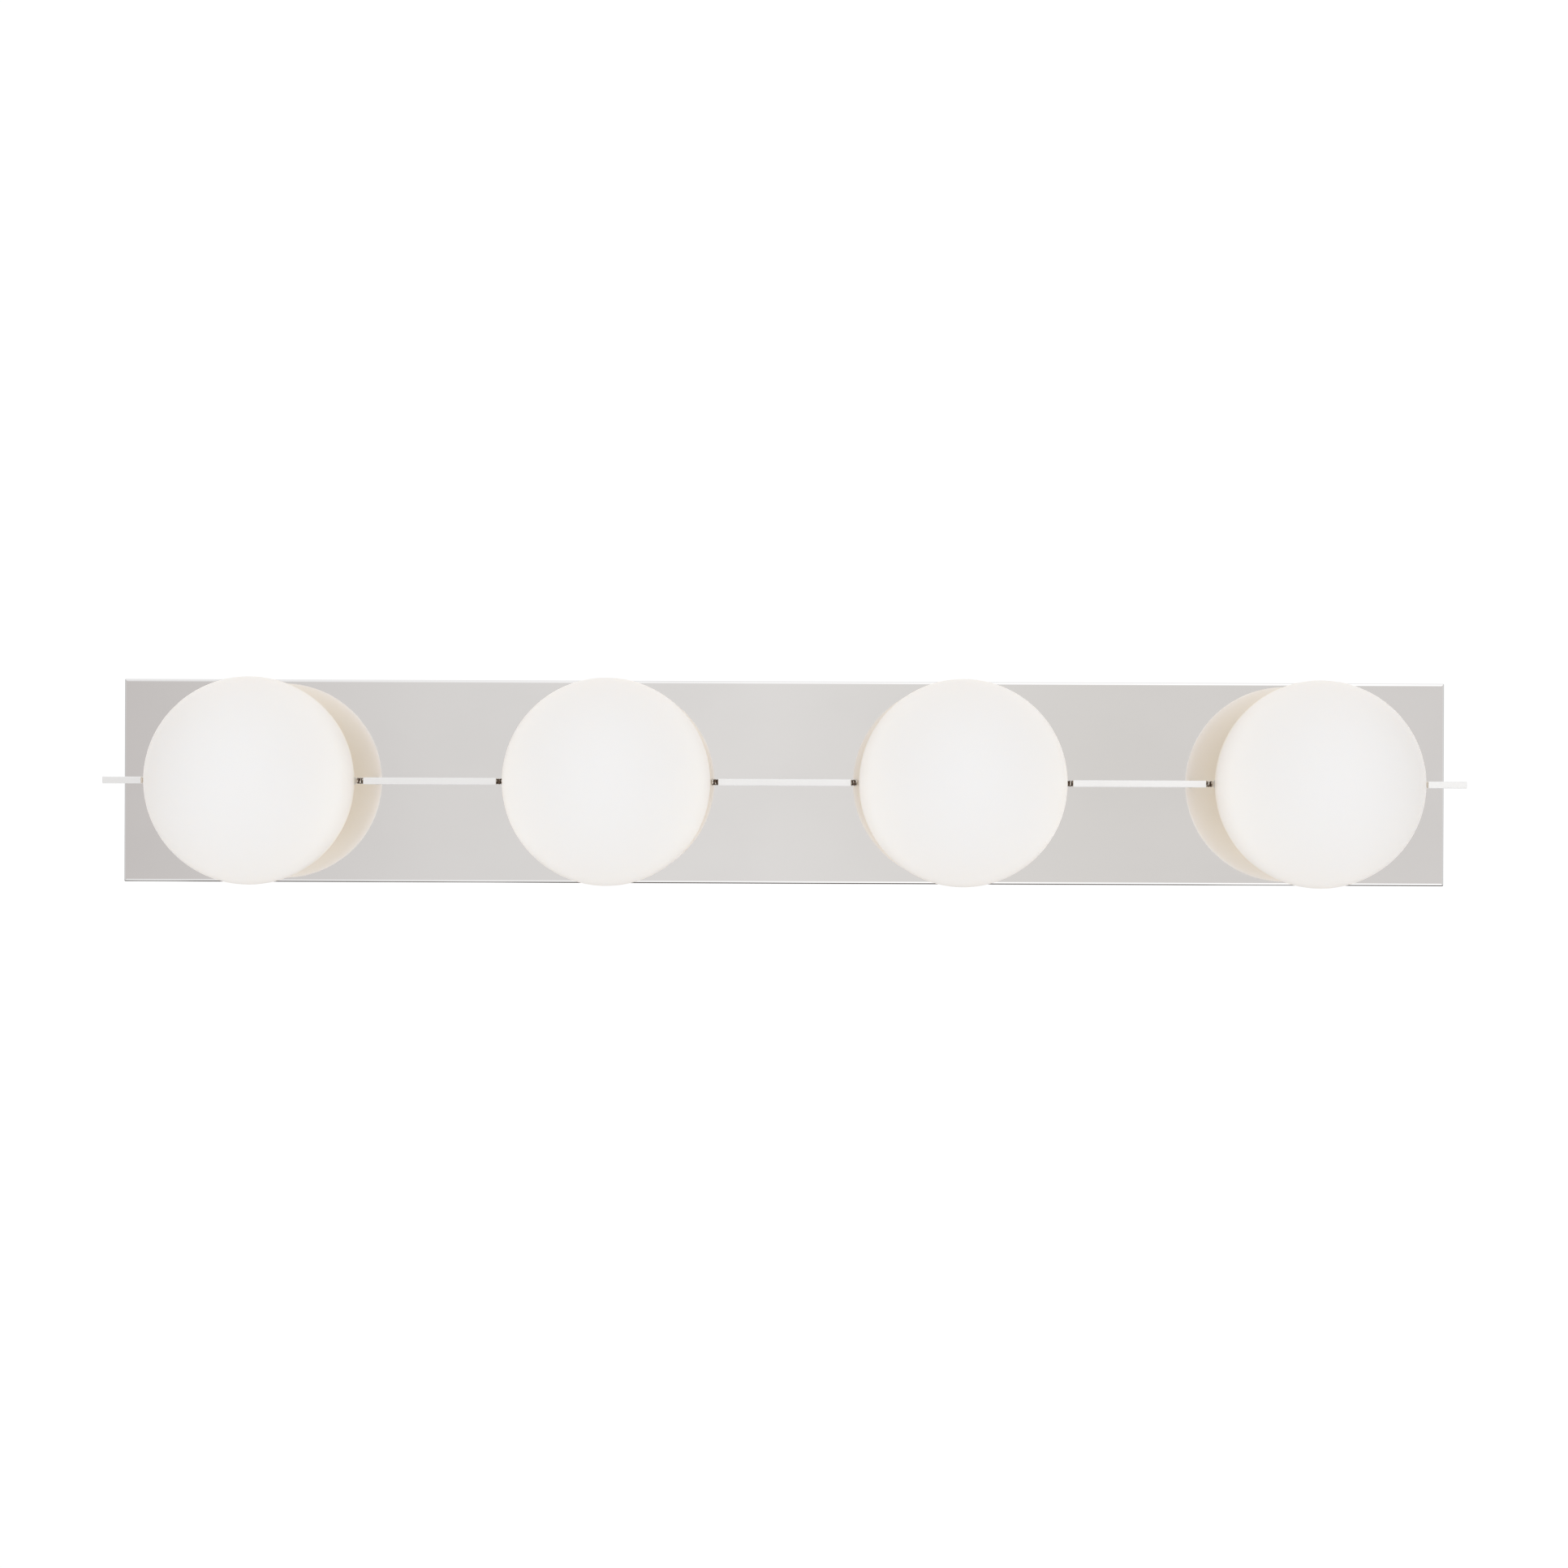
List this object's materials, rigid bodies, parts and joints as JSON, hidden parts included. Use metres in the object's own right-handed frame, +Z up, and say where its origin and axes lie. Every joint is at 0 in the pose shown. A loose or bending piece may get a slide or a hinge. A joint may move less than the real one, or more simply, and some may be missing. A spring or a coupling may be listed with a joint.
{
  "type": "vanity light bar",
  "caption": "Wall-mounted vanity light: a long mirror-finish back pan carries a row of round opal glass globes joined by a slim square bar with grooved sleeves.",
  "frame": {"origin": "middle of the two wall-box screw slots, on the wall's surface", "axes": "+X along the bar to the right as seen from the room, -Y out of the wall, +Z up"},
  "size_m": [0.853, 0.1507, 0.1306],
  "materials": {
    "mirror_nickel": "polished nickel plate, mirror",
    "bright_nickel": "polished nickel plate, fine drawn lines",
    "dark_ferrule": "dark antique nickel, grooved",
    "opal_glass": "opal white glass, satin outside",
    "silicone": "soft white silicone",
    "raw_aluminium": "turned, uncoated",
    "zinc_steel": "bright zinc plate",
    "galvanised_steel": "galvanised sheet",
    "board_white": "white solder mask on a metal core",
    "led_yellow": "phosphor under clear silicone",
    "white_nylon": "moulded nylon",
    "driver_plastic": "light grey moulding",
    "board_green": "green solder mask",
    "coil_tape": "yellow winding tape",
    "capacitor_sleeve": "black shrink sleeve",
    "green_screw": "green earth screw",
    "wire_nut_plastic": "orange moulding",
    "lead_white": "white insulation",
    "lead_black": "black insulation",
    "lead_red": "red insulation",
    "lead_green": "green insulation"
  },
  "bodies": {
    "root": {"back_pan": "mirror_nickel", "bar_ferrules": "dark_ferrule", "bar_set_screws": "zinc_steel", "bar_span_1": "bright_nickel", "bar_span_2": "bright_nickel", "bar_span_3": "bright_nickel", "bar_stub_left": "bright_nickel", "bar_stub_right": "bright_nickel", "board_connectors": "white_nylon", "cross_rod_1": "zinc_steel", "cross_rod_2": "zinc_steel", "cross_rod_3": "zinc_steel", "cross_rod_4": "zinc_steel", "driver_board": "board_green", "driver_capacitor": "capacitor_sleeve", "driver_lid": "driver_plastic", "driver_screws": "zinc_steel", "driver_transformer": "coil_tape", "driver_tray": "driver_plastic", "globe_1": "opal_glass", "globe_2": "opal_glass", "globe_3": "opal_glass", "globe_4": "opal_glass", "globe_gaskets": "silicone", "ground_screw": "green_screw", "heat_sink_1": "raw_aluminium", "heat_sink_2": "raw_aluminium", "heat_sink_3": "raw_aluminium", "heat_sink_4": "raw_aluminium", "holder_1": "mirror_nickel", "holder_2": "mirror_nickel", "holder_3": "mirror_nickel", "holder_4": "mirror_nickel", "lead_black": "lead_black", "lead_clips": "white_nylon", "lead_ground": "lead_green", "lead_line": "lead_black", "lead_neutral": "lead_white", "lead_red": "lead_red", "led_board_1": "board_white", "led_board_2": "board_white", "led_board_3": "board_white", "led_board_4": "board_white", "led_board_screws": "zinc_steel", "led_packages": "led_yellow", "link_leads": "lead_white", "pan_set_screws": "zinc_steel", "post_1": "raw_aluminium", "post_2": "raw_aluminium", "post_3": "raw_aluminium", "post_4": "raw_aluminium", "post_nuts": "zinc_steel", "rod_bushes": "silicone", "star_washers": "zinc_steel", "wall_bracket": "galvanised_steel", "weld_nuts": "zinc_steel", "wire_nuts": "wire_nut_plastic"}
  },
  "joints": []
}
